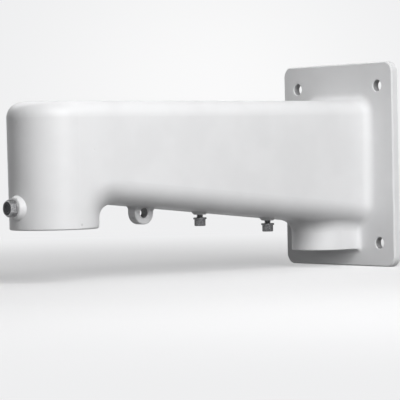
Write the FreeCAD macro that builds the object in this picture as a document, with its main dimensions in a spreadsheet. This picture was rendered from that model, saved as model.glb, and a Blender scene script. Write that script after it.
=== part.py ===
import FreeCAD, Part
import math
import os
import Sketcher
from FreeCAD import Vector

# Camera wall bracket: a hollow light-alloy casting with its lock bolt and two accessory screws.
# The origin is the centre of the wall plate's back face. The arm runs along -Y and +Z is up.

# Driving dimensions, in millimetres and degrees
SIZES = {
    # Wall plate
    "plate_width": 150.0,
    "plate_height": 190.0,
    "plate_thick": 7.0,
    "plate_corner": 10.0,
    "plate_edge_chamfer": 1.2,
    "hole_pitch_across": 110.0,
    "hole_pitch_up": 146.0,
    "hole_dia": 10.5,
    "hole_chamfer": 0.8,
    # Arm and drum, measured at the height of the origin where the draft starts
    "reach": 336.0,
    "drum_radius": 38.4,
    "drum_low": 49.0,
    "drum_back_flat": 1.6,
    "arm_top": 59.5,
    "arm_half": 43.0,
    "arm_low": 56.6,
    "underside_slope": 5.65,
    "draft": 0.5,
    "top_round": 13.5,
    "belly_round": 19.0,
    "bend_round": 11.0,
    "rim_chamfer": 1.0,
    "root_round": 8.0,
    # Walls round the cable way and the drum's chamber
    "drum_wall": 4.5,
    "arm_wall": 5.5,
    # Pipe socket in the underside of the drum
    "socket_dia": 47.8,
    "socket_depth": 27.0,
    "socket_chamfer": 1.5,
    # Lower cable entry under the arm
    "entry_half": 28.0,
    "entry_out": 29.2,
    "entry_low": 79.0,
    "entry_dia": 33.2,
    "entry_chamfer": 1.5,
    "entry_neck_round": 12.0,
    "entry_root_round": 4.5,
    "entry_rim_round": 1.0,
    # Safety-wire eye
    "eye_out": 243.2,
    "eye_low": 38.0,
    "eye_radius": 10.2,
    "eye_thick": 11.0,
    "eye_dia": 8.4,
    "eye_hole_chamfer": 1.0,
    "eye_foot_round": 4.0,
    "eye_edge_round": 1.2,
    # Accessory screws, their washers and their raised seats
    "screw_out": 96.1,
    "screw_pitch": 80.2,
    "seat_height": 2.5,
    "seat_dia": 11.0,
    "seat_slope": 42.0,
    "screw_dia": 6.0,
    "screw_length": 12.0,
    "screw_point": 0.8,
    "screw_shown": 2.6,
    "screw_head_dia": 10.0,
    "screw_head_height": 6.0,
    "screw_head_chamfer": 0.5,
    "screw_key": 5.0,
    "screw_key_depth": 3.0,
    "washer_dia": 12.0,
    "washer_thick": 1.6,
    "washer_gap": 0.2,
    # Lock bolt, its washer and its boss on the end of the drum
    "lock_low": 30.0,
    "lock_boss_dia": 18.0,
    "lock_boss_slope": 30.0,
    "lock_boss_stand": 3.0,
    "lock_boss_chamfer": 0.6,
    "lock_dia": 8.0,
    "lock_length": 18.0,
    "lock_flats": 13.0,
    "lock_head_height": 5.5,
    "lock_head_chamfer": 30.0,
    "lock_head_face_dia": 12.2,
    "lock_dish_dia": 7.6,
    "lock_dish_floor_dia": 6.1,
    "lock_dish_depth": 0.8,
    "lock_washer_dia": 15.0,
    "lock_washer_thick": 1.0,
    # Radial play of a screw in its tapped hole
    "thread_play": 0.1,
}

# How far a cutting form runs past the face that it opens
RUN_OUT = 1.0
# How close two lengths are that count as the same
SAME = 0.01
# The same on faces that slope
SAME_ON_SLOPE = 0.02

NODES = [
    "bracket_casting", "lock_bolt", "lock_washer",
    "front_screw", "front_washer", "rear_screw", "rear_washer",
]

doc = FreeCAD.newDocument("CameraWallBracket")
sheet = doc.addObject("Spreadsheet::Sheet", "Dims")
for row, (alias, value) in enumerate(SIZES.items(), start=1):
    sheet.set(f"A{row}", alias)
    sheet.set(f"B{row}", str(value))
    sheet.setAlias(f"B{row}", alias)
doc.recompute()


def number(text):
    """The number that an expression gives now."""
    return float(sheet.evalExpression(text))


def near(value, target, slack=SAME):
    """Whether two lengths agree."""
    return abs(value - target) < slack


# Documents, sketches and features


def finish(feature):
    """Bring the document up to date and stop if this feature failed."""
    doc.recompute()
    if "Invalid" in feature.State or "Error" in feature.State:
        raise RuntimeError(f"{feature.Name} failed: {feature.State}")


def add_body(name):
    """A new body whose label is its name."""
    body = doc.addObject("PartDesign::Body", name)
    body.Label = name
    return body


def body_on(name, base):
    """A new body that goes on from another object's shape."""
    body = add_body(name)
    body.BaseFeature = base
    finish(body)
    return body


def origin_plane(body, role):
    """One of a body's own origin planes."""
    return [plane for plane in body.Origin.OriginFeatures if plane.Role == role][0]


def add_sketch(body, name, role, offset=None):
    """A sketch on one of the body's origin planes, or off it by an expression."""
    sketch = body.newObject("Sketcher::SketchObject", name)
    sketch.AttachmentSupport = [(origin_plane(body, role), "")]
    sketch.MapMode = "FlatFace"
    if offset:
        sketch.setExpression("AttachmentOffset.Base.z", offset)
    return sketch


def tie(sketch, constraint, text):
    """Add a dimension to a sketch and bind it to an expression."""
    added = sketch.addConstraint(constraint)
    sketch.setExpression(f"Constraints[{added}]", text)


def tie_point(sketch, curve, end, across=None, up=None):
    """Tie a point of a sketch to the sketch's origin, across and up."""
    if across:
        tie(sketch, Sketcher.Constraint("DistanceX", -1, 1, curve, end, number(across)), across)
    if up:
        tie(sketch, Sketcher.Constraint("DistanceY", -1, 1, curve, end, number(up)), up)


def join(sketch, pairs):
    """Make the end of each first curve the start of its second one."""
    for first, second in pairs:
        sketch.addConstraint(Sketcher.Constraint("Coincident", first, 2, second, 1))


def tangent(sketch, first, first_end, second, second_end):
    """Join two curves at their ends without a corner."""
    sketch.addConstraint(Sketcher.Constraint("Tangent", first, first_end, second, second_end))


def straighten(sketch, upright=(), level=()):
    """Keep lines of a sketch upright or level."""
    for line in upright:
        sketch.addConstraint(Sketcher.Constraint("Vertical", line))
    for line in level:
        sketch.addConstraint(Sketcher.Constraint("Horizontal", line))


def polygon(sketch, corners):
    """A closed outline of straight lines with every corner tied to the sheet."""
    places = [Vector(number(across), number(up), 0) for across, up in corners]
    count = len(corners)
    for start in range(count):
        sketch.addGeometry(Part.LineSegment(places[start], places[(start + 1) % count]))
    join(sketch, [(start, (start + 1) % count) for start in range(count)])
    for start, (across, up) in enumerate(corners):
        tie_point(sketch, start, 1, across, up)


def circle(sketch, across, up, diameter):
    """A circle with its centre and diameter tied to the sheet."""
    middle = Vector(number(across), number(up), 0)
    curve = sketch.addGeometry(Part.Circle(middle, Vector(0, 0, 1), number(diameter) / 2))
    tie_point(sketch, curve, 3, across, up)
    tie(sketch, Sketcher.Constraint("Diameter", curve, number(diameter)), diameter)


def hexagon(sketch, flats):
    """A regular hexagon about the sketch's origin with two corners up and down."""
    corner = f"{flats} / 2 / cos(30deg)"
    turns = [90 + 60 * step for step in range(6)]
    polygon(sketch, [(f"{corner} * cos({angle}deg)", f"{corner} * sin({angle}deg)") for angle in turns])


def tongue(sketch, radius, across, up, top):
    """A half circle at the bottom with straight sides up to a flat top."""
    wide, middle, low, high = number(radius), number(across), number(up), number(top)
    corners = [Vector(middle + wide, low, 0), Vector(middle + wide, high, 0),
               Vector(middle - wide, high, 0), Vector(middle - wide, low, 0)]
    for start in range(3):
        sketch.addGeometry(Part.LineSegment(corners[start], corners[start + 1]))
    round_end = Part.Circle(Vector(middle, low, 0), Vector(0, 0, 1), wide)
    sketch.addGeometry(Part.ArcOfCircle(round_end, math.pi, 2 * math.pi))
    join(sketch, [(0, 1), (1, 2)])
    tangent(sketch, 2, 2, 3, 1)
    tangent(sketch, 3, 2, 0, 1)
    straighten(sketch, upright=(0, 2), level=(1,))
    tie(sketch, Sketcher.Constraint("Radius", 3, wide), radius)
    tie_point(sketch, 3, 3, across, up)
    tie_point(sketch, 1, 1, None, top)


def pad(body, name, sketch, length, back=None, both=False):
    """Extrude a sketch along its normal, and also backwards or evenly to both sides."""
    feature = body.newObject("PartDesign::Pad", name)
    feature.Profile = sketch
    if both:
        feature.SideType = "Symmetric"
    if back:
        feature.SideType = "Two sides"
        feature.setExpression("Length2", back)
    feature.setExpression("Length", length)
    finish(feature)
    return feature


def check_cut(feature):
    """Stop if a cutting feature took nothing away."""
    if feature.Shape.Volume > feature.BaseFeature.Shape.Volume - RUN_OUT:
        raise ValueError(f"{feature.Name} cuts nothing")


def pocket(body, name, sketch, length, both=False, reverse=False):
    """Cut a sketch's outline against its normal, evenly to both sides, or along its normal."""
    feature = body.newObject("PartDesign::Pocket", name)
    feature.Profile = sketch
    if both:
        feature.SideType = "Symmetric"
    feature.Reversed = reverse
    feature.setExpression("Length", length)
    finish(feature)
    check_cut(feature)


def turn(body, name, sketch, axis="V_Axis", cut=False):
    """Revolve a sketch, or groove with it, a full turn about one of its axes."""
    feature = body.newObject("PartDesign::Groove" if cut else "PartDesign::Revolution", name)
    feature.Profile = sketch
    feature.ReferenceAxis = (sketch, [axis])
    feature.Angle = 360.0
    finish(feature)
    if cut:
        check_cut(feature)


def join_body(body, name, other, kind):
    """Fuse another body with this one, or cut it out of it."""
    feature = body.newObject("PartDesign::Boolean", name)
    feature.setObjects([other])
    feature.Type = kind
    finish(feature)


def middle_of(edge):
    """The point half way along an edge."""
    return edge.valueAt((edge.FirstParameter + edge.LastParameter) / 2)


def edges_where(feature, test):
    """The names of the edges whose middle point and edge pass a test."""
    edges = enumerate(feature.Shape.Edges, start=1)
    names = [f"Edge{count}" for count, edge in edges if test(middle_of(edge), edge)]
    if not names:
        raise ValueError(f"no edge found on {feature.Name}")
    return names


def fillet(body, name, radius, test):
    """Round the edges of a body that pass a test."""
    base = body.Tip
    feature = body.newObject("PartDesign::Fillet", name)
    feature.Base = (base, edges_where(base, test))
    feature.setExpression("Radius", radius)
    finish(feature)


def chamfer(body, name, size, test):
    """Take the corner off the edges of a body that pass a test."""
    base = body.Tip
    feature = body.newObject("PartDesign::Chamfer", name)
    feature.Base = (base, edges_where(base, test))
    feature.setExpression("Size", size)
    finish(feature)


def varied_round(name, base, radius_at, test):
    """Round edges with a radius that may differ at their two ends. Edges on which it changes come
    first, so that their even neighbours settle the radius at the shared corners."""
    changing, even = [], []
    for count, edge in enumerate(base.Shape.Edges, start=1):
        if test(middle_of(edge), edge):
            first = radius_at(edge.valueAt(edge.FirstParameter))
            last = radius_at(edge.valueAt(edge.LastParameter))
            (even if near(first, last) else changing).append((count, first, last))
    feature = doc.addObject("Part::Fillet", name)
    feature.Base = base
    feature.Edges = changing + even
    finish(feature)
    return feature


# Heights and places that several sketches share
DRUM_BACK = "-Dims.reach + Dims.drum_radius"
ARM_END = "-Dims.plate_thick / 2"
ALL_ACROSS = "4 * Dims.arm_half"
LOCK_OUT = "(Dims.reach + Dims.drum_radius + Dims.lock_boss_stand)"
CEILING = "(Dims.arm_top - Dims.arm_wall)"
CEILING_ROUND = "(Dims.top_round - Dims.arm_wall)"


def underside_at(out):
    """Height of the arm's underside at a distance out from the wall."""
    return f"(-Dims.arm_low + tan(Dims.underside_slope * 1deg) * {out})"


def screw_out(step):
    """Distance from the wall of one of the accessory screws."""
    return f"(Dims.screw_out + {step} * Dims.screw_pitch)"


def seat_face(step):
    """Height of the flat face of a screw's seat."""
    return f"({underside_at(screw_out(step))} - Dims.seat_height)"


def stand(sketch, out, up="0"):
    """Shift a sketch on the YZ plane so that its origin is at a place on the arm."""
    sketch.setExpression("AttachmentOffset.Base.x", f"-1 * {out}")
    sketch.setExpression("AttachmentOffset.Base.y", up)


plate_x = number("Dims.plate_width / 2")
plate_z = number("Dims.plate_height / 2")
plate_front = -number("Dims.plate_thick")
plate_corner = number("Dims.plate_corner")
arm_end = number(ARM_END)
arm_top = number("Dims.arm_top")
drum_back = number(DRUM_BACK)
drum_low = -number("Dims.drum_low")
ceiling = number(CEILING)
slope = math.radians(number("Dims.underside_slope"))
entry_low = -number("Dims.entry_low")
eye_x = number("Dims.eye_thick / 2")
eye_y = -number("Dims.eye_out")
eye_z = -number("Dims.eye_low")
lock_face = -number(LOCK_OUT)
lock_z = -number("Dims.lock_low")


def on_underside(point):
    """Whether a point lies on the arm's flat sloping underside."""
    height = -number("Dims.arm_low") - math.tan(slope) * point.y
    return near(point.z, height, SAME_ON_SLOPE)


# Outer form of the arm with the drum


def arm_plan(body):
    """Plan outline of the arm: the drum's half circle with straight sides tangent to it."""
    sketch = add_sketch(body, "ArmPlan", "XY_Plane")
    radius, half, centre = number("Dims.drum_radius"), number("Dims.arm_half"), -number("Dims.reach")
    span = math.hypot(half, arm_end - centre)
    swing = math.atan2(half, arm_end - centre) + math.acos(radius / span)
    meet = Vector(radius * math.sin(swing), centre + radius * math.cos(swing), 0)
    opposite = Vector(-meet.x, meet.y, 0)
    right, left = Vector(half, arm_end, 0), Vector(-half, arm_end, 0)
    nose = Part.Arc(opposite, Vector(0, centre - radius, 0), meet)
    for curve in (Part.LineSegment(meet, right), Part.LineSegment(right, left),
                  Part.LineSegment(left, opposite), nose):
        sketch.addGeometry(curve)
    join(sketch, [(0, 1), (1, 2)])
    tangent(sketch, 2, 2, 3, 1)
    tangent(sketch, 3, 2, 0, 1)
    sketch.addConstraint(Sketcher.Constraint("Symmetric", 1, 1, 1, 2, -2))
    sketch.addConstraint(Sketcher.Constraint("PointOnObject", 3, 3, -2))
    tie_point(sketch, 3, 3, None, "-Dims.reach")
    tie(sketch, Sketcher.Constraint("Radius", 3, radius), "Dims.drum_radius")
    tie_point(sketch, 1, 1, "Dims.arm_half", ARM_END)
    return sketch


def under_arm_side(body):
    """Side outline of what is cut away below the drum and below the sloping arm."""
    sketch = add_sketch(body, "UnderArmSide", "YZ_Plane")
    front, deep, low = "-Dims.reach - 2 * Dims.drum_radius", "-2 * Dims.arm_low", "-Dims.drum_low"
    radius = number("Dims.bend_round")
    middle = Vector(drum_back + radius, 0, 0)
    middle.y = -number("Dims.arm_low") - math.tan(slope) * middle.x - radius / math.cos(slope)
    start = Vector(drum_back, middle.y, 0)
    finish = middle + Vector(math.sin(slope), math.cos(slope), 0) * radius
    corners = [Vector(number(front), number(deep), 0), Vector(number(front), drum_low, 0),
               Vector(drum_back, drum_low, 0), start, finish,
               Vector(0, -number("Dims.arm_low"), 0), Vector(0, number(deep), 0)]
    for first, second in ((0, 1), (1, 2), (2, 3), (4, 5), (5, 6), (6, 0)):
        sketch.addGeometry(Part.LineSegment(corners[first], corners[second]))
    bend_circle = Part.Circle(middle, Vector(0, 0, 1), radius)
    bend = sketch.addGeometry(Part.ArcOfCircle(bend_circle, math.pi / 2 - slope, math.pi))
    join(sketch, [(0, 1), (1, 2), (3, 4), (4, 5), (5, 0)])
    tangent(sketch, 2, 2, bend, 2)
    tangent(sketch, 3, 1, bend, 1)
    straighten(sketch, upright=(0, 2, 4), level=(1, 5))
    tie_point(sketch, 0, 1, front, deep)
    tie_point(sketch, 1, 2, DRUM_BACK, low)
    tie_point(sketch, 3, 2, None, "-Dims.arm_low")
    sketch.addConstraint(Sketcher.Constraint("PointOnObject", 3, 2, -2))
    tie(sketch, Sketcher.Constraint("Radius", bend, radius), "Dims.bend_round")
    tie(sketch, Sketcher.Constraint("Angle", 3, -slope), "-Dims.underside_slope")
    return sketch


def draft_sides(body, blank):
    """Give the sides of the arm their draft: they lean outwards above the origin's height."""
    sides = [f"Face{count}" for count, face in enumerate(blank.Shape.Faces, start=1)
             if near(face.normalAt(0, 0).z, 0) and face.CenterOfMass.y < arm_end - RUN_OUT]
    feature = body.newObject("PartDesign::Draft", "ArmDraft")
    feature.Base = (blank, sides)
    feature.NeutralPlane = (origin_plane(body, "XY_Plane"), [""])
    feature.Reversed = True
    feature.setExpression("Angle", "Dims.draft")
    finish(feature)


def on_belly(point, edge):
    """Whether an edge runs along one of the underside's two long corners or down the drum's back."""
    ends = [vertex.Point for vertex in edge.Vertexes]
    beside = abs(point.x) > number("Dims.drum_radius") - RUN_OUT
    one_side = len(ends) == 2 and ends[0].x * ends[1].x > 0
    below = drum_low + SAME < point.z < 0
    return beside and one_side and below and drum_back - SAME < point.y < arm_end - SAME


def belly_radius(point):
    """Radius of the lower corner: small along the arm, and nearly the drum's own on the drum's back."""
    if point.y < drum_back + number("Dims.bend_round") / 4:
        return number("Dims.drum_radius - Dims.drum_back_flat / 2")
    return number("Dims.belly_round")


arm = add_body("arm_form")
arm_blank = pad(arm, "ArmBlank", arm_plan(arm), "Dims.arm_top", back=f"Dims.arm_low + {RUN_OUT}")
draft_sides(arm, arm_blank)
pocket(arm, "UnderArm", under_arm_side(arm), ALL_ACROSS, both=True)
fillet(arm, "TopRound", "Dims.top_round",
       lambda point, edge: near(point.z, arm_top) and point.y < arm_end - RUN_OUT)
belly = varied_round("BellyRound", arm, belly_radius, on_belly)

# The arm with the lower cable entry and the wall plate


def on_entry_wall(point):
    """Whether a point lies on the lower entry's outer wall."""
    half, centre = number("Dims.entry_half"), -number("Dims.entry_out")
    if point.y > centre:
        return near(abs(point.x), half)
    return near(math.hypot(point.x, point.y - centre), half)


def on_entry_neck(point, edge):
    """Whether an edge lies where the lower entry meets the arm."""
    ends = [vertex.Point.z for vertex in edge.Vertexes]
    level = abs(ends[0] - ends[-1]) < edge.Length / 2
    return on_entry_wall(point) and level and point.z > entry_low + RUN_OUT and point.y < arm_end - SAME


def on_plate_edge(point, edge):
    """Whether an edge lies on the front rim of the wall plate."""
    beside = abs(point.x) > plate_x - plate_corner / 2
    return near(point.y, plate_front) and (beside or abs(point.z) > plate_z - plate_corner / 2)


def root_radius(point):
    """Radius where the arm runs into the plate: large round the arm, small beside the entry."""
    waist = -number("Dims.arm_low") + number("Dims.bend_round") / 2
    return number("Dims.root_round") if point.z > waist else number("Dims.entry_root_round")


def on_root(point, edge):
    """Whether an edge lies in the corner between the plate's front and what stands on it."""
    inside = abs(point.x) < plate_x - plate_corner and abs(point.z) < plate_z - plate_corner
    return near(point.y, plate_front) and inside


mounted = body_on("mounted_form", belly)
rim = add_sketch(mounted, "RimChamferProfile", "YZ_Plane")
stand(rim, "Dims.reach")
rim_radius = "(Dims.drum_radius - tan(Dims.draft * 1deg) * Dims.drum_low)"
polygon(rim, [(f"{rim_radius} - Dims.rim_chamfer", "-Dims.drum_low"),
              (f"{rim_radius} + {RUN_OUT}", "-Dims.drum_low"),
              (f"{rim_radius} + {RUN_OUT}", f"-Dims.drum_low + Dims.rim_chamfer + {RUN_OUT}")])
turn(mounted, "RimChamfer", rim, cut=True)
entry_plan = add_sketch(mounted, "EntryPlan", "XY_Plane", "-Dims.entry_low")
tongue(entry_plan, "Dims.entry_half", "0", "-Dims.entry_out", ARM_END)
pad(mounted, "LowerEntry", entry_plan, "Dims.entry_low - Dims.arm_low + Dims.belly_round")
fillet(mounted, "EntryNeckRound", "Dims.entry_neck_round", on_entry_neck)
fillet(mounted, "EntryRimRound", "Dims.entry_rim_round",
       lambda point, edge: near(point.z, entry_low) and point.y < arm_end - SAME)
plate_outline = add_sketch(mounted, "PlateOutline", "XZ_Plane")
half_width, half_height = "Dims.plate_width / 2", "Dims.plate_height / 2"
polygon(plate_outline, [("-" + half_width, "-" + half_height), (half_width, "-" + half_height),
                        (half_width, half_height), ("-" + half_width, half_height)])
pad(mounted, "WallPlate", plate_outline, "Dims.plate_thick")
fillet(mounted, "PlateCorners", "Dims.plate_corner",
       lambda point, edge: near(abs(point.x), plate_x) and near(abs(point.z), plate_z))
chamfer(mounted, "PlateEdgeChamfer", "Dims.plate_edge_chamfer", on_plate_edge)
root = varied_round("RootRound", mounted, root_radius, on_root)

# The whole casting, with its outer details first


def on_eye_face(point, edge):
    """Whether an edge lies on the rim of the eye, and not where the eye is joined on."""
    return near(abs(point.x), eye_x) and edge.Length > RUN_OUT and point.z < eye_top - SAME


def on_eye_foot(point, edge):
    """Whether an edge lies where the eye meets the underside."""
    beside = abs(point.y - eye_y) < number("Dims.eye_radius") + RUN_OUT
    return on_underside(point) and beside and abs(point.x) < eye_x + SAME


def on_eye_hole(point, edge):
    """Whether an edge is one of the rims of the eye's hole."""
    distance = math.hypot(point.y - eye_y, point.z - eye_z)
    return near(abs(point.x), eye_x) and near(distance, number("Dims.eye_dia / 2"))


def lock_distance(point):
    """Distance of a point from the lock bolt's axis."""
    return math.hypot(point.x, point.z - lock_z)


def on_lock_face(point, edge):
    """Whether an edge is the rim of the lock bolt's boss."""
    return near(point.y, lock_face) and lock_distance(point) < number("Dims.lock_boss_dia")


casting = body_on("bracket_casting", root)

eye = add_body("eye_form")
eye_side = add_sketch(eye, "EyeSide", "YZ_Plane")
EYE_TOP = underside_at("Dims.eye_out") + " + Dims.arm_wall / 2"
eye_top = number(EYE_TOP)
tongue(eye_side, "Dims.eye_radius", "-Dims.eye_out", "-Dims.eye_low", EYE_TOP)
pad(eye, "EyeTab", eye_side, "Dims.eye_thick", both=True)
fillet(eye, "EyeEdgeRound", "Dims.eye_edge_round", on_eye_face)
join_body(casting, "EyeJoin", eye, "Fuse")
fillet(casting, "EyeFootRound", "Dims.eye_foot_round", on_eye_foot)
eye_hole = add_sketch(casting, "EyeHoleOutline", "YZ_Plane")
circle(eye_hole, "-Dims.eye_out", "-Dims.eye_low", "Dims.eye_dia")
pocket(casting, "EyeHole", eye_hole, "2 * Dims.eye_thick", both=True)
chamfer(casting, "EyeHoleChamfer", "Dims.eye_hole_chamfer", on_eye_hole)

SEAT_ROOT = "(Dims.seat_height + Dims.arm_wall / 2)"
for step in (0, 1):
    seat = add_sketch(casting, f"SeatProfile{step}", "YZ_Plane")
    stand(seat, screw_out(step), seat_face(step))
    seat_root_radius = f"Dims.seat_dia / 2 + tan(Dims.seat_slope * 1deg) * {SEAT_ROOT}"
    polygon(seat, [("0", "0"), ("Dims.seat_dia / 2", "0"), (seat_root_radius, SEAT_ROOT), ("0", SEAT_ROOT)])
    turn(casting, f"ScrewSeat{step}", seat)

# The boss is rooted half way into the thick wall round the pipe socket
BOSS_ROOT = "(Dims.lock_boss_stand + Dims.drum_radius / 2 - Dims.socket_dia / 4)"
boss = add_sketch(casting, "LockBossProfile", "YZ_Plane")
stand(boss, LOCK_OUT, "-Dims.lock_low")
boss_root_radius = f"Dims.lock_boss_dia / 2 + tan(Dims.lock_boss_slope * 1deg) * {BOSS_ROOT}"
polygon(boss, [("0", "0"), (BOSS_ROOT, "0"), (BOSS_ROOT, boss_root_radius), ("0", "Dims.lock_boss_dia / 2")])
turn(casting, "LockBoss", boss, axis="H_Axis")
chamfer(casting, "LockBossFaceChamfer", "Dims.lock_boss_chamfer", on_lock_face)

# The four wall bolt holes, with their front rims chamfered
wall_holes = add_sketch(casting, "WallHoleOutlines", "XZ_Plane")
hole_spots = []
for across_sign, up_sign in ((1, 1), (-1, 1), (-1, -1), (1, -1)):
    hole_across = f"{across_sign} * Dims.hole_pitch_across / 2"
    hole_up = f"{up_sign} * Dims.hole_pitch_up / 2"
    circle(wall_holes, hole_across, hole_up, "Dims.hole_dia")
    hole_spots.append((number(hole_across), number(hole_up)))


def on_hole_rim(point, edge):
    """Whether an edge is the front rim of a wall bolt hole."""
    distances = [math.hypot(point.x - across, point.z - up) for across, up in hole_spots]
    return near(point.y, plate_front) and near(min(distances), number("Dims.hole_dia / 2"))


pocket(casting, "WallHoles", wall_holes, "4 * Dims.plate_thick", both=True)
chamfer(casting, "WallHoleChamfers", "Dims.hole_chamfer", on_hole_rim)

# The cable way through the arm, open at the wall and into the drum
DRUM_SIDE, WALL_SIDE = "(Dims.drum_radius - Dims.arm_wall)", "(Dims.arm_half - Dims.arm_wall)"
PAST_DRUM, PAST_WALL = f"(Dims.reach + {RUN_OUT})", f"-{2 * RUN_OUT}"
BELOW_ARM = f"-Dims.arm_low - {2 * RUN_OUT}"


def on_way_side(point):
    """Whether a point lies well to the side of the cable way."""
    return abs(point.x) > number(DRUM_SIDE) / 2


way = add_body("cable_way")
way_plan = add_sketch(way, "WayPlan", "XY_Plane")
polygon(way_plan, [(DRUM_SIDE, "-Dims.reach"), (WALL_SIDE, f"{RUN_OUT}"),
                   (f"-1 * {WALL_SIDE}", f"{RUN_OUT}"), (f"-1 * {DRUM_SIDE}", "-Dims.reach")])
pad(way, "WayBlank", way_plan, CEILING, back="Dims.arm_low")
way_floor = add_sketch(way, "WayFloor", "YZ_Plane")
polygon(way_floor, [(f"-1 * {PAST_DRUM}", BELOW_ARM), (f"-1 * {PAST_WALL}", BELOW_ARM),
                    (f"-1 * {PAST_WALL}", underside_at(PAST_WALL) + " + Dims.arm_wall"),
                    (f"-1 * {PAST_DRUM}", underside_at(PAST_DRUM) + " + Dims.arm_wall")])
pocket(way, "WayFloorCut", way_floor, ALL_ACROSS, both=True)
fillet(way, "WayTopRound", CEILING_ROUND,
       lambda point, edge: near(point.z, ceiling) and on_way_side(point))
fillet(way, "WayBellyRound", "Dims.belly_round - Dims.arm_wall",
       lambda point, edge: point.z < 0 and on_way_side(point) and edge.Length > number("Dims.reach / 2"))

# The chamber in the drum and the pipe socket below it
MOUTH_DEEP = f"(-Dims.drum_low - {RUN_OUT})"
MOUTH_RADIUS = f"(Dims.socket_dia / 2 + Dims.socket_chamfer + {RUN_OUT})"
CHAMBER_RADIUS = "(Dims.drum_radius - Dims.drum_wall)"
COLLAR_TOP = "(-Dims.drum_low + Dims.socket_depth)"
bore = add_body("drum_bore")
bore_profile = add_sketch(bore, "DrumBoreProfile", "YZ_Plane")
stand(bore_profile, "Dims.reach")
polygon(bore_profile, [("0", MOUTH_DEEP), (MOUTH_RADIUS, MOUTH_DEEP),
                       ("Dims.socket_dia / 2", "-Dims.drum_low + Dims.socket_chamfer"),
                       ("Dims.socket_dia / 2", COLLAR_TOP), (CHAMBER_RADIUS, COLLAR_TOP),
                       (CHAMBER_RADIUS, f"{CEILING} - {CEILING_ROUND}"),
                       (f"{CHAMBER_RADIUS} - {CEILING_ROUND}", CEILING), ("0", CEILING)])
turn(bore, "DrumBore", bore_profile)
join_body(casting, "WayCut", way, "Cut")
join_body(casting, "BoreCut", bore, "Cut")


def bore_hole(name, radius, depth, out, up, chamfer="0", axis="V_Axis"):
    """Bore a round hole into the casting from a face that stands at a place on the arm."""
    sketch = add_sketch(casting, name + "Profile", "YZ_Plane")
    stand(sketch, out, up)
    mouth = f"({radius} + {chamfer} + {RUN_OUT})" if chamfer != "0" else radius
    corners = [("0", f"-{RUN_OUT}"), (mouth, f"-{RUN_OUT}")]
    if chamfer != "0":
        corners.append((radius, chamfer))
    corners += [(radius, depth), ("0", depth)]
    if axis == "H_Axis":
        corners = [(along, across) for across, along in reversed(corners)]
    polygon(sketch, corners)
    turn(casting, name, sketch, axis=axis, cut=True)


# The lower entry's bore, the two tapped holes and the lock bolt's hole
ENTRY_FRONT = "(Dims.entry_out + Dims.entry_dia / 2)"
bore_hole("EntryBore", "Dims.entry_dia / 2",
          f"(Dims.entry_low + {underside_at(ENTRY_FRONT)} + Dims.arm_wall + {RUN_OUT})",
          "Dims.entry_out", "-Dims.entry_low", chamfer="Dims.entry_chamfer")
for step in (0, 1):
    bore_hole(f"TappedHole{step}", "(Dims.screw_dia / 2 + Dims.thread_play)",
              f"(Dims.seat_height + Dims.arm_wall + {RUN_OUT})", screw_out(step), seat_face(step))
bore_hole("LockHole", "(Dims.lock_dia / 2 + Dims.thread_play)",
          f"({LOCK_OUT} - Dims.reach - Dims.socket_dia / 2 + {RUN_OUT})",
          LOCK_OUT, "-Dims.lock_low", axis="H_Axis")

# Screws and washers


def place(body, out, up, tilt=0.0):
    """Stand a body's own origin at a place on the bracket, tilted about X."""
    body.Placement = FreeCAD.Placement(Vector(0, 0, 0), FreeCAD.Rotation(Vector(1, 0, 0), tilt))
    body.setExpression("Placement.Base.y", f"-1 * {out}")
    body.setExpression("Placement.Base.z", up)


def washer(name, shank, diameter, low, high):
    """A flat washer with play round its screw's shank."""
    body = add_body(name)
    inner, outer = f"{shank} / 2 + Dims.washer_gap", f"{diameter} / 2"
    sketch = add_sketch(body, name + "_profile", "XZ_Plane")
    polygon(sketch, [(inner, low), (outer, low), (outer, high), (inner, high)])
    turn(body, name + "_ring", sketch)
    return body


# Height of the underside of the cap screw's head above the seat that it screws into
HEAD_SEAT = "(-1 * Dims.screw_shown - Dims.washer_thick)"


def cap_screw(name):
    """A socket head cap screw, head down, with its origin on the seat that it screws into."""
    body = add_body(name)
    sketch = add_sketch(body, name + "_profile", "XZ_Plane")
    head, shank, point = "Dims.screw_head_dia / 2", "Dims.screw_dia / 2", "Dims.screw_point"
    bottom, tip = f"{HEAD_SEAT} - Dims.screw_head_height", f"{HEAD_SEAT} + Dims.screw_length"
    polygon(sketch, [("0", bottom), (head, bottom), (head, HEAD_SEAT), (shank, HEAD_SEAT),
                     (shank, f"{tip} - {point}"), (f"{shank} - {point}", tip), ("0", tip)])
    turn(body, name + "_turned", sketch)
    head_end = number(bottom)
    chamfer(body, name + "_head_chamfer", "Dims.screw_head_chamfer",
            lambda point, edge: near(point.z, head_end))
    key = add_sketch(body, name + "_key", "XY_Plane", bottom)
    hexagon(key, "Dims.screw_key")
    pocket(body, name + "_socket", key, "Dims.screw_key_depth", reverse=True)
    return body


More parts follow.
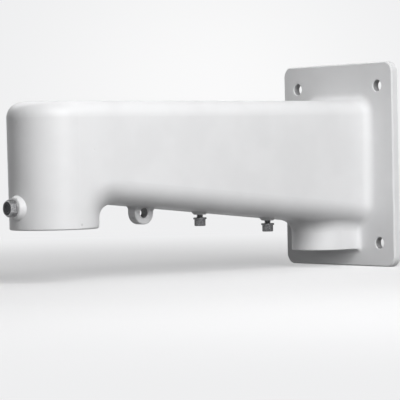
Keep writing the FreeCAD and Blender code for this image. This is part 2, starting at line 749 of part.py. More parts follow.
def hex_bolt():
    """The lock bolt: a hexagon head with its corners cut and a shallow dish, and a plain shank."""
    body = add_body("lock_bolt")
    head_end = "(Dims.lock_washer_thick + Dims.lock_head_height)"
    head_plan = add_sketch(body, "LockHeadPlan", "XY_Plane", "Dims.lock_washer_thick")
    hexagon(head_plan, "Dims.lock_flats")
    pad(body, "LockHead", head_plan, "Dims.lock_head_height")
    face = "Dims.lock_head_face_dia / 2"
    outside = f"(Dims.lock_flats / 2 / cos(30deg) + {RUN_OUT})"
    deep = f"{head_end} - tan(Dims.lock_head_chamfer * 1deg) * ({outside} - {face})"
    corner_cut = add_sketch(body, "LockHeadCornerCut", "XZ_Plane")
    polygon(corner_cut, [(face, head_end), (outside, head_end), (outside, deep)])
    turn(body, "LockHeadCorners", corner_cut, cut=True)
    dish_floor = f"{head_end} - Dims.lock_dish_depth"
    dish = add_sketch(body, "LockDishProfile", "XZ_Plane")
    polygon(dish, [("0", dish_floor), ("Dims.lock_dish_floor_dia / 2", dish_floor),
                   ("Dims.lock_dish_dia / 2", head_end), ("0", head_end)])
    turn(body, "LockDish", dish, cut=True)
    shank_plan = add_sketch(body, "LockShankPlan", "XY_Plane", "Dims.lock_washer_thick - Dims.lock_length")
    circle(shank_plan, "0", "0", "Dims.lock_dia")
    pad(body, "LockShank", shank_plan, "Dims.lock_length + Dims.lock_head_height / 2")
    return body


for step, side in enumerate(("rear", "front")):
    screw_pieces = (cap_screw(f"{side}_screw"),
                    washer(f"{side}_washer", "Dims.screw_dia", "Dims.washer_dia",
                           HEAD_SEAT, f"{HEAD_SEAT} + Dims.washer_thick"))
    for piece in screw_pieces:
        place(piece, screw_out(step), seat_face(step))
lock_pieces = (hex_bolt(),
               washer("lock_washer", "Dims.lock_dia", "Dims.lock_washer_dia", "0", "Dims.lock_washer_thick"))
for piece in lock_pieces:
    place(piece, LOCK_OUT, "-Dims.lock_low", tilt=90.0)
doc.recompute()


def check_and_save():
    """Stop if anything in the document failed, then write each piece to its own file."""
    for thing in doc.Objects:
        if "Invalid" in thing.State or "Error" in thing.State:
            raise RuntimeError(f"{thing.Name} failed: {thing.State}")
    os.makedirs("parts", exist_ok=True)
    for label in NODES:
        shape = doc.getObjectsByLabel(label)[0].Shape
        if shape.isNull() or not shape.isValid() or len(shape.Solids) != 1:
            raise RuntimeError(f"{label} has no single valid solid")
        shape.exportStep(f"parts/{label}.step")
        print(label, round(shape.Volume, 1), "cubic millimetres")


check_and_save()
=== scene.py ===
import math

import bmesh
import bpy
from bpy.props import FloatProperty, FloatVectorProperty, IntProperty, PointerProperty
from mathutils import Matrix, Vector


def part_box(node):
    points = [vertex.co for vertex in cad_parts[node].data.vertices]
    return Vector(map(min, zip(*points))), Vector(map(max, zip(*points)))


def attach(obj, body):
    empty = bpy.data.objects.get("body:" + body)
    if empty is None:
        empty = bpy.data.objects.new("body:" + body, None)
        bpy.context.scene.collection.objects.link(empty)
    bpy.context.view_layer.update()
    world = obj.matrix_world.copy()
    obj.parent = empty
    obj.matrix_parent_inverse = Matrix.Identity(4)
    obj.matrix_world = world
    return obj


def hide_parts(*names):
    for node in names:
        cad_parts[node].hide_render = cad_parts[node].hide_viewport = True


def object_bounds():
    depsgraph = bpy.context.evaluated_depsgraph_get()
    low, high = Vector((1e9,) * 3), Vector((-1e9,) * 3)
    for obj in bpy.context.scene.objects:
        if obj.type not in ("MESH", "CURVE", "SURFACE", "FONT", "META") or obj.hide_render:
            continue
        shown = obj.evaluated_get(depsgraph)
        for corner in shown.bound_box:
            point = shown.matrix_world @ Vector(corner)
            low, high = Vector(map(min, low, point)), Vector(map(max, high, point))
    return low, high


# Looks of the camera wall bracket: powder coat, screws, lock bolt, threads and the studio round them.
# Lengths are metres. The arm runs along -Y from the wall plate and +Z is up.
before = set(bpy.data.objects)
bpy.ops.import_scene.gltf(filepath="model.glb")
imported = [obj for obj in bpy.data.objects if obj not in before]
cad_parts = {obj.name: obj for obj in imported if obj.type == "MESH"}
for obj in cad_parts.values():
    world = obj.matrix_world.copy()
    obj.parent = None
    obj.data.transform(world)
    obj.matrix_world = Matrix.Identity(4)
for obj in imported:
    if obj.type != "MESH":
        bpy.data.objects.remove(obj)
cad_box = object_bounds()

bl_info = {
    "name": "Camera wall bracket",
    "version": (1, 0, 0),
    "blender": (4, 5, 0),
    "location": "3D View > Sidebar > Bracket",
    "description": "Finishes and small parts of a cast camera wall bracket",
    "category": "Add Mesh",
}

MM = 0.001
FULL_TURN = math.tau
# How far a cutting form runs past the face that it opens
RUN_OUT = 1 * MM
# Points nearer than this to a cutting plane count as lying on it
CUT_NEAR = 0.0002 * MM
# Points nearer than this to each other are merged, in a wound line and in a whole piece
WIND_NEAR = 0.0005 * MM
MERGE_NEAR = 0.001 * MM
# Corners flatter than this are shaded smooth
SMOOTH_ANGLE = math.radians(30)
# Sides of a turned form and of a hexagon
SIDES = 96
HEX_SIDES = 6
# Distance from a hexagon's middle to its flats, as a share of that to its corners
HEXAGON = math.cos(math.radians(30))


def box_of(node):
    """Middle, lowest corner and highest corner of a piece of the frame."""
    low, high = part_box(node)
    return (low + high) / 2, low, high


# Sizes and colours that a user would change


class CoatSettings(bpy.types.PropertyGroup):
    """Powder coat on the casting"""
    colour: FloatVectorProperty(name="Colour", description="Colour of the powder coat", subtype="COLOR",
                                default=(0.785, 0.787, 0.795), min=0, max=1)
    roughness: FloatProperty(name="Roughness", description="Gloss of the coat, from 0 for a mirror",
                             default=0.42, min=0, max=1, subtype="FACTOR")
    peel_width: FloatProperty(name="Peel width", description="Width of the waves in the coat",
                              default=1.6 * MM, min=0, unit="LENGTH")
    peel_depth: FloatProperty(name="Peel depth", description="Height of the waves in the coat",
                              default=0.012 * MM, min=0, unit="LENGTH")
    dust_spacing: FloatProperty(name="Dust spacing", description="Distance between specks of dust",
                                default=9 * MM, min=0, unit="LENGTH")
    dust_size: FloatProperty(name="Dust size", description="Radius of the largest specks",
                             default=0.35 * MM, min=0, unit="LENGTH")


class ScrewSettings(bpy.types.PropertyGroup):
    """The two socket head cap screws and their washers"""
    head_height: FloatProperty(name="Head height", description="Height of the round head",
                               default=6 * MM, unit="LENGTH")
    knurls: IntProperty(name="Knurls", description="Grooves round the head", default=36, min=8)
    knurl_depth: FloatProperty(name="Knurl depth", description="Depth of the grooves round the head",
                               default=0.22 * MM, unit="LENGTH")
    plain_rim: FloatProperty(name="Plain rim", description="Height of the smooth band at each end",
                             default=0.9 * MM, unit="LENGTH")
    rim_round: FloatProperty(name="Rim round", description="Radius of the head's outer corner",
                             default=0.6 * MM, unit="LENGTH")
    key: FloatProperty(name="Key", description="Width across the flats of the key socket",
                       default=5 * MM, unit="LENGTH")
    key_depth: FloatProperty(name="Key depth", description="Depth of the key socket",
                             default=3 * MM, unit="LENGTH")
    radius: FloatProperty(name="Thread radius", description="Outer radius of the thread",
                          default=3 * MM, unit="LENGTH")
    pitch: FloatProperty(name="Thread pitch", description="Distance from thread to thread",
                         default=1 * MM, unit="LENGTH")
    tip: FloatProperty(name="Tip", description="Size of the chamfer at the end of the thread",
                       default=0.8 * MM, unit="LENGTH")
    washer_bore: FloatProperty(name="Washer bore", description="Radius of the washer's hole",
                               default=3.2 * MM, unit="LENGTH")


class LockSettings(bpy.types.PropertyGroup):
    """The hexagon bolt that locks the pipe, and its washer"""
    flats: FloatProperty(name="Flats", description="Width across the flats of the head",
                         default=13 * MM, unit="LENGTH")
    head_height: FloatProperty(name="Head height", description="Height of the hexagon head",
                               default=5.5 * MM, unit="LENGTH")
    face_radius: FloatProperty(name="Face radius", description="Radius of the head's round end face",
                               default=6.1 * MM, unit="LENGTH")
    corner_slope: FloatProperty(name="Corner slope", description="Slope of the cut on the head's corners",
                                default=math.radians(30), subtype="ANGLE")
    dish_radius: FloatProperty(name="Dish radius", description="Radius of the dish in the end face",
                               default=3.8 * MM, unit="LENGTH")
    dish_floor: FloatProperty(name="Dish floor", description="Radius of the floor of the dish",
                              default=3.05 * MM, unit="LENGTH")
    dish_depth: FloatProperty(name="Dish depth", description="Depth of the dish",
                              default=0.8 * MM, unit="LENGTH")
    radius: FloatProperty(name="Thread radius", description="Outer radius of the thread",
                          default=4 * MM, unit="LENGTH")
    pitch: FloatProperty(name="Thread pitch", description="Distance from thread to thread",
                         default=1.25 * MM, unit="LENGTH")
    washer_bore: FloatProperty(name="Washer bore", description="Radius of the washer's hole",
                               default=4.2 * MM, unit="LENGTH")
    washer_thick: FloatProperty(name="Washer thickness", description="Thickness of the washer",
                                default=1 * MM, unit="LENGTH")


class ThreadSettings(bpy.types.PropertyGroup):
    """Pipe threads in the drum's socket and in the lower cable entry"""
    pitch: FloatProperty(name="Pitch", description="Distance from thread to thread",
                         default=2.309 * MM, unit="LENGTH", precision=5)
    depth: FloatProperty(name="Depth", description="Height of the thread",
                         default=1.479 * MM, unit="LENGTH", precision=5)
    flank: FloatProperty(name="Flank", description="Slope of each side of the thread",
                         default=math.radians(27.5), subtype="ANGLE")
    crest: FloatProperty(name="Crest", description="Width of the thread's flat top",
                         default=0.32 * MM, unit="LENGTH", precision=5)
    socket_radius: FloatProperty(name="Socket radius", description="Radius of the wall of the pipe socket",
                                 default=23.9 * MM, unit="LENGTH")
    socket_out: FloatProperty(name="Socket place", description="Distance of the pipe socket from the wall",
                              default=336 * MM, unit="LENGTH")
    socket_chamfer: FloatProperty(name="Lead-in", description="Size of the chamfer at each mouth",
                                  default=1.5 * MM, unit="LENGTH")
    socket_low: FloatProperty(name="Socket mouth", description="Height of the socket's mouth",
                              default=-49 * MM, unit="LENGTH")
    socket_top: FloatProperty(name="Socket top", description="Height where the socket's wall ends",
                              default=-22 * MM, unit="LENGTH")
    entry_radius: FloatProperty(name="Entry radius", description="Radius of the wall of the lower entry",
                                default=16.6 * MM, unit="LENGTH")
    entry_out: FloatProperty(name="Entry place", description="Distance of the lower entry from the wall",
                             default=29.2 * MM, unit="LENGTH")
    entry_low: FloatProperty(name="Entry mouth", description="Height of the lower entry's mouth",
                             default=-79 * MM, unit="LENGTH")
    entry_top: FloatProperty(name="Entry top", description="Height where the entry's thread ends",
                             default=-53 * MM, unit="LENGTH")


class StageSettings(bpy.types.PropertyGroup):
    """Camera, lamps, floor and backdrop"""
    lens: FloatProperty(name="Lens", description="Focal length of the camera in millimetres", default=193.16)
    camera_place: FloatVectorProperty(name="Camera place", description="Where the camera stands",
                                      default=(1.49518, -1.38998, 0.01006), subtype="TRANSLATION")
    camera_turn: FloatProperty(name="Turn", description="Direction in which the camera looks",
                               default=math.radians(50.92), subtype="ANGLE")
    camera_dip: FloatProperty(name="Dip", description="How far the camera looks down",
                              default=math.radians(1.15), subtype="ANGLE")
    camera_roll: FloatProperty(name="Roll", description="How far the camera leans",
                               default=math.radians(1.12), subtype="ANGLE")
    floor_colour: FloatVectorProperty(name="Floor", description="Colour of the floor and the backdrop",
                                      subtype="COLOR", default=(0.82, 0.82, 0.824), min=0, max=1)
    bounce_colour: FloatVectorProperty(name="Bounce", description="Colour of the light off the floor",
                                       subtype="COLOR", default=(0.18, 0.18, 0.182), min=0, max=1)
    glow_colour: FloatVectorProperty(name="Far backdrop", description="Colour of the backdrop far away",
                                     subtype="COLOR", default=(0.862, 0.864, 0.872), min=0, max=1)
    # Painted pool of light: a lighter glow on the backdrop behind the arm
    lit_pool_colour: FloatVectorProperty(name="Backdrop middle", description="Colour behind the arm",
                                       subtype="COLOR", default=(0.955, 0.955, 0.958), min=0, max=1)
    key_power: FloatProperty(name="Key lamp", description="Power of the low lamp on the bracket's right",
                             default=15.5, unit="POWER")
    near_power: FloatProperty(name="Near lamp", description="Power of the small lamp close to the arm",
                              default=3.7, unit="POWER")
    arm_power: FloatProperty(name="Arm lamp", description="Power of the small lamp on the arm's right side",
                             default=2.6, unit="POWER")
    front_power: FloatProperty(name="Front soft box", description="Power of the low soft box before the drum",
                               default=10.6, unit="POWER")
    side_power: FloatProperty(name="Side soft box", description="Power of the large soft box on the right",
                              default=13, unit="POWER")
    left_power: FloatProperty(name="Left lamp", description="Power of the lamp on the far side of the arm",
                              default=10, unit="POWER")
    rear_power: FloatProperty(name="Rear lamp", description="Power of the high lamp behind the wall plate",
                              default=8, unit="POWER")
    back_power: FloatProperty(name="Back soft box", description="Power of the soft box on the wall's side",
                              default=18, unit="POWER")
    sky: FloatProperty(name="Sky", description="Strength of the even light from all round", default=0.002)


SETTINGS = {
    "bracket_coat": CoatSettings,
    "bracket_screws": ScrewSettings,
    "bracket_lock": LockSettings,
    "bracket_threads": ThreadSettings,
    "bracket_stage": StageSettings,
}

# Shader nodes


def add_node(tree, kind, inputs=None, **settings):
    """A node of a shader tree with its settings and the values of its inputs."""
    node = tree.nodes.new(kind)
    for name, value in settings.items():
        setattr(node, name, value)
    for name, value in (inputs or {}).items():
        if isinstance(value, bpy.types.NodeSocket):
            tree.links.new(value, node.inputs[name])
        else:
            node.inputs[name].default_value = value
    return node


def maths(tree, operation, first, second=0.0):
    """The result of a sum on two values or sockets."""
    return add_node(tree, "ShaderNodeMath", {0: first, 1: second}, operation=operation).outputs[0]


def ramp(tree, value, low, high, start=0.0, end=1.0):
    """A value spread smoothly from start to end while its input goes from low to high."""
    limits = {"Value": value, "From Min": low, "From Max": high, "To Min": start, "To Max": end}
    return add_node(tree, "ShaderNodeMapRange", limits, interpolation_type="SMOOTHSTEP").outputs["Result"]


# Sockets of a Mix node that mixes colours
MIX_MASK, MIX_FIRST, MIX_SECOND, MIX_RESULT = 0, 6, 7, 2


def mix_colour(tree, mask, first, second):
    """The first colour where the mask is 0 and the second where it is 1."""
    given = {MIX_MASK: mask, MIX_FIRST: first, MIX_SECOND: second}
    return add_node(tree, "ShaderNodeMix", given, data_type="RGBA").outputs[MIX_RESULT]


def rgba(colour):
    """A colour with full alpha."""
    return (*colour[:3], 1.0)


def away_from(tree, place, spot):
    """The distance of a place from a spot."""
    return add_node(tree, "ShaderNodeVectorMath", {0: place, 1: spot}, operation="DISTANCE").outputs["Value"]


def new_group(name, inputs, outputs):
    """An empty shader group with named sockets, and its input and output nodes."""
    group = bpy.data.node_groups.new(name, "ShaderNodeTree")
    for label, kind, value in inputs:
        socket = group.interface.new_socket(label, in_out="INPUT", socket_type=kind)
        if value is not None:
            socket.default_value = value
    for label, kind in outputs:
        group.interface.new_socket(label, in_out="OUTPUT", socket_type=kind)
    return group, group.nodes.new("NodeGroupInput"), group.nodes.new("NodeGroupOutput")


# How much wider the waves in tone are than the waves in height
TONE_WIDTH = 24.0


def fine_relief():
    """Shader group: small waves of one width as a height, and much wider ones as a shift in tone."""
    if "Fine relief" in bpy.data.node_groups:
        return bpy.data.node_groups["Fine relief"]
    group, given, made = new_group(
        "Fine relief",
        [("Place", "NodeSocketVector", None), ("Width", "NodeSocketFloat", 1 * MM),
         ("Detail", "NodeSocketFloat", 2.0)],
        [("Height", "NodeSocketFloat"), ("Tone", "NodeSocketFloat")])
    scale = maths(group, "DIVIDE", 1.0, given.outputs["Width"])
    waves = add_node(group, "ShaderNodeTexNoise",
                     {"Vector": given.outputs["Place"], "Scale": scale, "Detail": given.outputs["Detail"]})
    broad_scale = maths(group, "DIVIDE", scale, TONE_WIDTH)
    broad = add_node(group, "ShaderNodeTexNoise", {"Vector": given.outputs["Place"], "Scale": broad_scale})
    group.links.new(waves.outputs["Fac"], made.inputs["Height"])
    group.links.new(broad.outputs["Fac"], made.inputs["Tone"])
    return group


# Share of a speck's radius at which its edge starts to fade
SPECK_EDGE = 0.7


def dust():
    """Shader group: round specks scattered over a surface, as a mask."""
    if "Dust" in bpy.data.node_groups:
        return bpy.data.node_groups["Dust"]
    group, given, made = new_group(
        "Dust",
        [("Place", "NodeSocketVector", None), ("Spacing", "NodeSocketFloat", 8 * MM),
         ("Size", "NodeSocketFloat", 0.3 * MM)],
        [("Mask", "NodeSocketFloat")])
    scale = maths(group, "DIVIDE", 1.0, given.outputs["Spacing"])
    cells = add_node(group, "ShaderNodeTexVoronoi", {"Vector": given.outputs["Place"], "Scale": scale})
    away = maths(group, "MULTIPLY", cells.outputs["Distance"], given.outputs["Spacing"])
    chance = add_node(group, "ShaderNodeSeparateColor", {"Color": cells.outputs["Color"]}).outputs[0]
    radius = maths(group, "MULTIPLY", given.outputs["Size"], chance)
    inside = maths(group, "DIVIDE", away, radius)
    group.links.new(ramp(group, inside, SPECK_EDGE, 1.0, 1.0, 0.0), made.inputs["Mask"])
    return group


def new_material(name):
    """An empty node material: its tree, its shader and its object coordinates."""
    material = bpy.data.materials.new(name)
    material.use_nodes = True
    tree = material.node_tree
    tree.nodes.clear()
    output = add_node(tree, "ShaderNodeOutputMaterial")
    shader = add_node(tree, "ShaderNodeBsdfPrincipled")
    tree.links.new(shader.outputs["BSDF"], output.inputs["Surface"])
    place = add_node(tree, "ShaderNodeTexCoord").outputs["Object"]
    return material, tree, shader, place


def use_group(tree, group, inputs):
    """Place a shader group in a tree, set its inputs and give its outputs."""
    return add_node(tree, "ShaderNodeGroup", inputs, node_tree=group).outputs


def bump(tree, shader, height, depth):
    """Feed a height to the shader's normal."""
    relief = add_node(tree, "ShaderNodeBump", {"Height": height, "Distance": depth, "Strength": 1.0})
    tree.links.new(relief.outputs["Normal"], shader.inputs["Normal"])


def near_point(tree, place, spot, radius):
    """A mask that is 1 at a spot and falls to 0 at a radius from it."""
    return ramp(tree, away_from(tree, place, spot), 0.0, radius, 1.0, 0.0)


def inside_bore(tree, place, axis, centre, radius, low, high):
    """A mask that is 1 on the wall of a bore along an axis of the frame and 0 elsewhere."""
    parts = add_node(tree, "ShaderNodeSeparateXYZ", {"Vector": place}).outputs
    squares = [maths(tree, "POWER", maths(tree, "SUBTRACT", parts[name], middle), 2.0)
               for name, middle in zip("XYZ", centre) if name != axis]
    close = maths(tree, "LESS_THAN", maths(tree, "ADD", *squares), radius ** 2)
    above = maths(tree, "GREATER_THAN", parts[axis], low)
    below = maths(tree, "LESS_THAN", parts[axis], high)
    return maths(tree, "MULTIPLY", close, maths(tree, "MULTIPLY", above, below))


# Finishes

# Marks on the coat that the photograph shows
PIT_SPOT = (38.6 * MM, -321.0 * MM, 18.0 * MM)
PIT_RADIUS = 1.1 * MM
CHIP_SPOT = (38.3 * MM, -334.5 * MM, -45.0 * MM)
CHIP_RADIUS = 1.8 * MM
# Depth of the pit and the chip in waves of the coat, inwards
DENT_DEPTH = -12.0
# Place, radius and darkness of each smudge
SMUDGES = (
    ((3.3 * MM, -374.3 * MM, -39.8 * MM), 1.6 * MM, 0.25),
    ((2.4 * MM, -374.0 * MM, 42.0 * MM), 3.0 * MM, 0.12),
)
# Middle of the bolt hole at the plate's upper right, of which the other three are mirror images
BOLT_HOLE = (55 * MM, 0.0, 73 * MM)
BOLT_HOLE_RADIUS = 5.25 * MM
PLATE_THICK = 7 * MM
EYE_HOLE = (0.0, -243.2 * MM, -38.0 * MM)
EYE_HOLE_RADIUS = 4.2 * MM
# Half the thickness of the eye, and a little more
EYE_HALF = 5.8 * MM
# Place on the Y axis that is past the outer end of everything
FAR_SIDE = -1.0
# How far bare metal reaches past the wall of a threaded bore, and painted shade past that of a plain hole
BARE_MARGIN = 0.3 * MM
HOLE_SHADE_MARGIN = 0.06 * MM
BARE_METAL = (0.60, 0.605, 0.61)
BRIGHT_METAL = (0.68, 0.68, 0.685)
# Painted shade: a dark grey, not metal, on the walls of the plain holes
HOLE_SHADE_GREY = (0.27, 0.27, 0.275)
DIRT = (0.30, 0.30, 0.30)
LINT = (0.35, 0.34, 0.33)
# Near-black painted shade for the lock bolt's dished end face
END_FACE_SHADE = (0.035, 0.035, 0.038)
# Shade of the coat where it is darkest, and how dark the dust and the chip are
COAT_SHADE = 0.965
DUST_DARK = 0.35
CHIP_DARK = 0.45
# How far the coat's roughness strays to each side
COAT_STRAY = 0.04
# Parts of a noise's range over which tone, gloss and wear change
TONE_RANGE = (0.35, 0.65)
GLOSS_RANGE = (0.3, 0.7)
WEAR_RANGE = (0.42, 0.68)
# Cut aluminium: width of its grain, spacing and share of its tool marks, roughness and depth of relief
CUT_GRAIN = 0.5 * MM
TOOL_MARK_SPACING = 0.12 * MM
TOOL_MARK_SHARE = 0.3
CUT_ROUGHNESS = (0.28, 0.42)
CUT_RELIEF = 0.01 * MM
# Steel: its specks, how strong they are, how far its roughness strays, and depth of relief
LINT_SPACING = 1.6 * MM
LINT_SIZE = 0.12 * MM
LINT_SHARE = 0.5
STEEL_STRAY = (-0.07, 0.08)
STEEL_METALLIC = 0.85
STEEL_RELIEF = 0.02 * MM


def powder_coat(settings, threads):
    """White satin powder coat with its orange peel, a little dust, the bare machined bores and painted shade
    on the walls of the plain holes.
    """
    material, tree, shader, place = new_material("Powder coat")
    peel = use_group(tree, fine_relief(), {"Place": place, "Width": settings.peel_width, "Detail": 1.5})
    specks = use_group(tree, dust(), {"Place": place, "Spacing": settings.dust_spacing,
                                      "Size": settings.dust_size})["Mask"]
    pit = near_point(tree, place, PIT_SPOT, PIT_RADIUS)
    chip = near_point(tree, place, CHIP_SPOT, CHIP_RADIUS)
    lead = threads.socket_chamfer + BARE_MARGIN
    folded = add_node(tree, "ShaderNodeVectorMath", {0: place}, operation="ABSOLUTE").outputs["Vector"]
    bores = [
        inside_bore(tree, place, "Z", (0, -threads.socket_out, 0), threads.socket_radius + lead,
                    threads.socket_low + BARE_MARGIN, threads.socket_top - BARE_MARGIN),
        inside_bore(tree, place, "Z", (0, -threads.entry_out, 0), threads.entry_radius + lead,
                    threads.entry_low + BARE_MARGIN, threads.entry_top),
    ]
    bare = maths(tree, "MAXIMUM", *bores)
    holes = [
        inside_bore(tree, folded, "Y", BOLT_HOLE, BOLT_HOLE_RADIUS + HOLE_SHADE_MARGIN, FAR_SIDE, PLATE_THICK),
        inside_bore(tree, place, "X", EYE_HOLE, EYE_HOLE_RADIUS + HOLE_SHADE_MARGIN, -EYE_HALF, EYE_HALF),
    ]
    hole_shade = maths(tree, "MAXIMUM", *holes)
    colour = settings.colour
    shade = [COAT_SHADE * part for part in colour]
    coat = mix_colour(tree, ramp(tree, peel["Tone"], *TONE_RANGE), rgba(colour), rgba(shade))
    marks = maths(tree, "MAXIMUM", maths(tree, "MULTIPLY", specks, DUST_DARK),
                  maths(tree, "MULTIPLY", chip, CHIP_DARK))
    for spot, radius, strength in SMUDGES:
        smudge = maths(tree, "MULTIPLY", near_point(tree, place, spot, radius), strength)
        marks = maths(tree, "MAXIMUM", marks, smudge)
    coat = mix_colour(tree, marks, coat, rgba(DIRT))
    # Painted shade on the walls of the plain holes
    coat = mix_colour(tree, hole_shade, coat, rgba(HOLE_SHADE_GREY))
    tree.links.new(mix_colour(tree, bare, coat, rgba(BARE_METAL)), shader.inputs["Base Color"])
    gloss = (settings.roughness - COAT_STRAY, settings.roughness + COAT_STRAY)
    tree.links.new(ramp(tree, peel["Tone"], *GLOSS_RANGE, *gloss), shader.inputs["Roughness"])
    tree.links.new(bare, shader.inputs["Metallic"])
    dents = maths(tree, "MULTIPLY", maths(tree, "ADD", pit, chip), DENT_DEPTH)
    bump(tree, shader, maths(tree, "ADD", peel["Height"], dents), settings.peel_depth)
    return material


def machined_aluminium():
    """Bare cut aluminium with fine tool marks round the bore."""
    material, tree, shader, place = new_material("Machined aluminium")
    height = add_node(tree, "ShaderNodeSeparateXYZ", {"Vector": place}).outputs["Z"]
    grain = use_group(tree, fine_relief(), {"Place": place, "Width": CUT_GRAIN, "Detail": 3.0})
    ridges = maths(tree, "SINE", maths(tree, "MULTIPLY", height, FULL_TURN / TOOL_MARK_SPACING))
    tree.links.new(mix_colour(tree, grain["Height"], rgba(BARE_METAL), rgba(BRIGHT_METAL)),
                   shader.inputs["Base Color"])
    tree.links.new(ramp(tree, grain["Tone"], *GLOSS_RANGE, *CUT_ROUGHNESS), shader.inputs["Roughness"])
    shader.inputs["Metallic"].default_value = 1.0
    marks = maths(tree, "MULTIPLY", ridges, TOOL_MARK_SHARE)
    bump(tree, shader, maths(tree, "ADD", grain["Height"], marks), CUT_RELIEF)
    return material


# Of each steel: its colour, that of its worn grain, its roughness and the width of its grain
STEELS = {
    "Dark steel": ((0.11, 0.111, 0.115), (0.27, 0.27, 0.277), 0.40, 0.6 * MM),
    "Black steel": ((0.24, 0.24, 0.245), (0.50, 0.50, 0.508), 0.38, 0.8 * MM),
    "Plated steel": ((0.30, 0.30, 0.305), (0.42, 0.42, 0.425), 0.36, 0.8 * MM),
}


def steel(name, shade_bore=None):
    """Steel whose raised grain is worn a little lighter, with near-black painted shade in a bore where one is
    given.
    """
    if name in bpy.data.materials:
        return bpy.data.materials[name]
    colour, worn, roughness, grain_width = STEELS[name]
    material, tree, shader, place = new_material(name)
    grain = use_group(tree, fine_relief(), {"Place": place, "Width": grain_width, "Detail": 4.0})
    specks = use_group(tree, dust(), {"Place": place, "Spacing": LINT_SPACING, "Size": LINT_SIZE})["Mask"]
    base = mix_colour(tree, ramp(tree, grain["Height"], *WEAR_RANGE), rgba(colour), rgba(worn))
    base = mix_colour(tree, maths(tree, "MULTIPLY", specks, LINT_SHARE), base, rgba(LINT))
    # Near-black painted shade inside the given bore
    if shade_bore:
        base = mix_colour(tree, inside_bore(tree, place, *shade_bore), base, rgba(END_FACE_SHADE))
    tree.links.new(base, shader.inputs["Base Color"])
    gloss = [roughness + stray for stray in STEEL_STRAY]
    tree.links.new(ramp(tree, grain["Height"], *GLOSS_RANGE, *gloss), shader.inputs["Roughness"])
    shader.inputs["Metallic"].default_value = STEEL_METALLIC
    bump(tree, shader, grain["Height"], STEEL_RELIEF)
    return material


# Bright rim round the painted shade on the lock bolt's end, and how far the painted shade reaches under the
# dish
END_SHADE_RIM = 0.4 * MM
END_SHADE_DEPTH = 0.1 * MM


def black_steel(sizes):
    """Finish of the lock bolt: steel whose grain is worn lighter at random, with near-black painted shade on
    its dished end face.
    """
    middle, low, _ = box_of("lock_bolt")
    shaded_end_face = ("Y", middle, sizes.face_radius - END_SHADE_RIM, FAR_SIDE, low.y + sizes.dish_depth + END_SHADE_DEPTH)
    return steel("Black steel", shaded_end_face)


# Modelling helpers


def add_piece(name, primitive, **sizes):
    """Add a primitive with nothing else selected and give it its name."""
    if bpy.ops.object.mode_set.poll():
        bpy.ops.object.mode_set(mode="OBJECT")
    bpy.ops.object.select_all(action="DESELECT")
    primitive(**sizes)
    piece = bpy.context.object
    piece.name = piece.data.name = name
    return piece


def edit(piece):
    """Start editing the mesh of a piece."""
    bpy.context.view_layer.objects.active = piece
    bpy.ops.object.mode_set(mode="EDIT")


def stop_editing():
    """Go back to whole pieces."""
    bpy.ops.object.mode_set(mode="OBJECT")


def pick(piece, kind, test):
    """Select the vertices, edges or faces of the mesh in edit mode that pass a test, and nothing else."""
    bpy.ops.mesh.select_mode(type={"verts": "VERT", "edges": "EDGE", "faces": "FACE"}[kind])
    bpy.ops.mesh.select_all(action="DESELECT")
    mesh = bmesh.from_edit_mesh(piece.data)
    found = [part for part in getattr(mesh, kind) if test(part)]
    for part in found:
        part.select_set(True)
    mesh.select_flush_mode()
    bmesh.update_edit_mesh(piece.data)
    if not found:
        raise ValueError(f"nothing of {piece.name} was found to select")


def cut_off(piece, point, normal):
    """Cut away what lies beyond a plane, on the side that its normal points to, and close the cut."""
    edit(piece)
    bpy.ops.mesh.select_all(action="SELECT")
    bpy.ops.mesh.bisect(plane_co=point, plane_no=normal, use_fill=True, clear_outer=True, threshold=CUT_NEAR)
    stop_editing()


def apply_modifiers(piece):
    """Apply every modifier of a piece in order."""
    bpy.context.view_layer.objects.active = piece
    for modifier in list(piece.modifiers):
        bpy.ops.object.modifier_apply(modifier=modifier.name)


def combine(piece, other, operation):
    """Add another closed form to a piece, cut it out, or keep what both hold, and remove it."""
    settle(other)
    step = piece.modifiers.new(operation, "BOOLEAN")
    step.operation = operation
    step.object = other
    step.solver = "EXACT"
    apply_modifiers(piece)
    bpy.data.meshes.remove(other.data)


def soften(piece, width, angle=SMOOTH_ANGLE):
    """Round every corner that is sharper than an angle."""
    step = piece.modifiers.new("Soften", "BEVEL")
    step.width = width
    step.segments = 2
    step.limit_method = "ANGLE"
    step.angle_limit = angle
    step.harden_normals = False
    apply_modifiers(piece)


def settle(piece):
    """Move a piece's place and turn into its mesh, so that its object stands at the origin."""
    bpy.ops.object.select_all(action="DESELECT")
    piece.select_set(True)
    bpy.context.view_layer.objects.active = piece
    bpy.ops.object.transform_apply(location=True, rotation=True, scale=True)


def clean(piece):
    """Merge doubles, remove loose ends, point all faces outwards and shade the curved ones smooth."""
    edit(piece)
    bpy.ops.mesh.select_all(action="SELECT")
    bpy.ops.mesh.remove_doubles(threshold=MERGE_NEAR)
    bpy.ops.mesh.dissolve_degenerate(threshold=MERGE_NEAR)
    bpy.ops.mesh.delete_loose(use_verts=True, use_edges=True, use_faces=False)
    bpy.ops.mesh.select_all(action="SELECT")
    bpy.ops.mesh.normals_make_consistent(inside=False)
    stop_editing()
    bpy.ops.object.select_all(action="DESELECT")
    piece.select_set(True)
    bpy.context.view_layer.objects.active = piece
    bpy.ops.object.shade_smooth_by_angle(angle=SMOOTH_ANGLE)


def dress(piece, material, slot, *nodes):
    """Give a finished piece its material, hang it on the root body and hide the pieces of the frame that it
    replaces.
    """
    piece.data.materials.clear()
    piece.data.materials.append(material)
    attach(piece, "root")
    if nodes:
        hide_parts(*nodes)


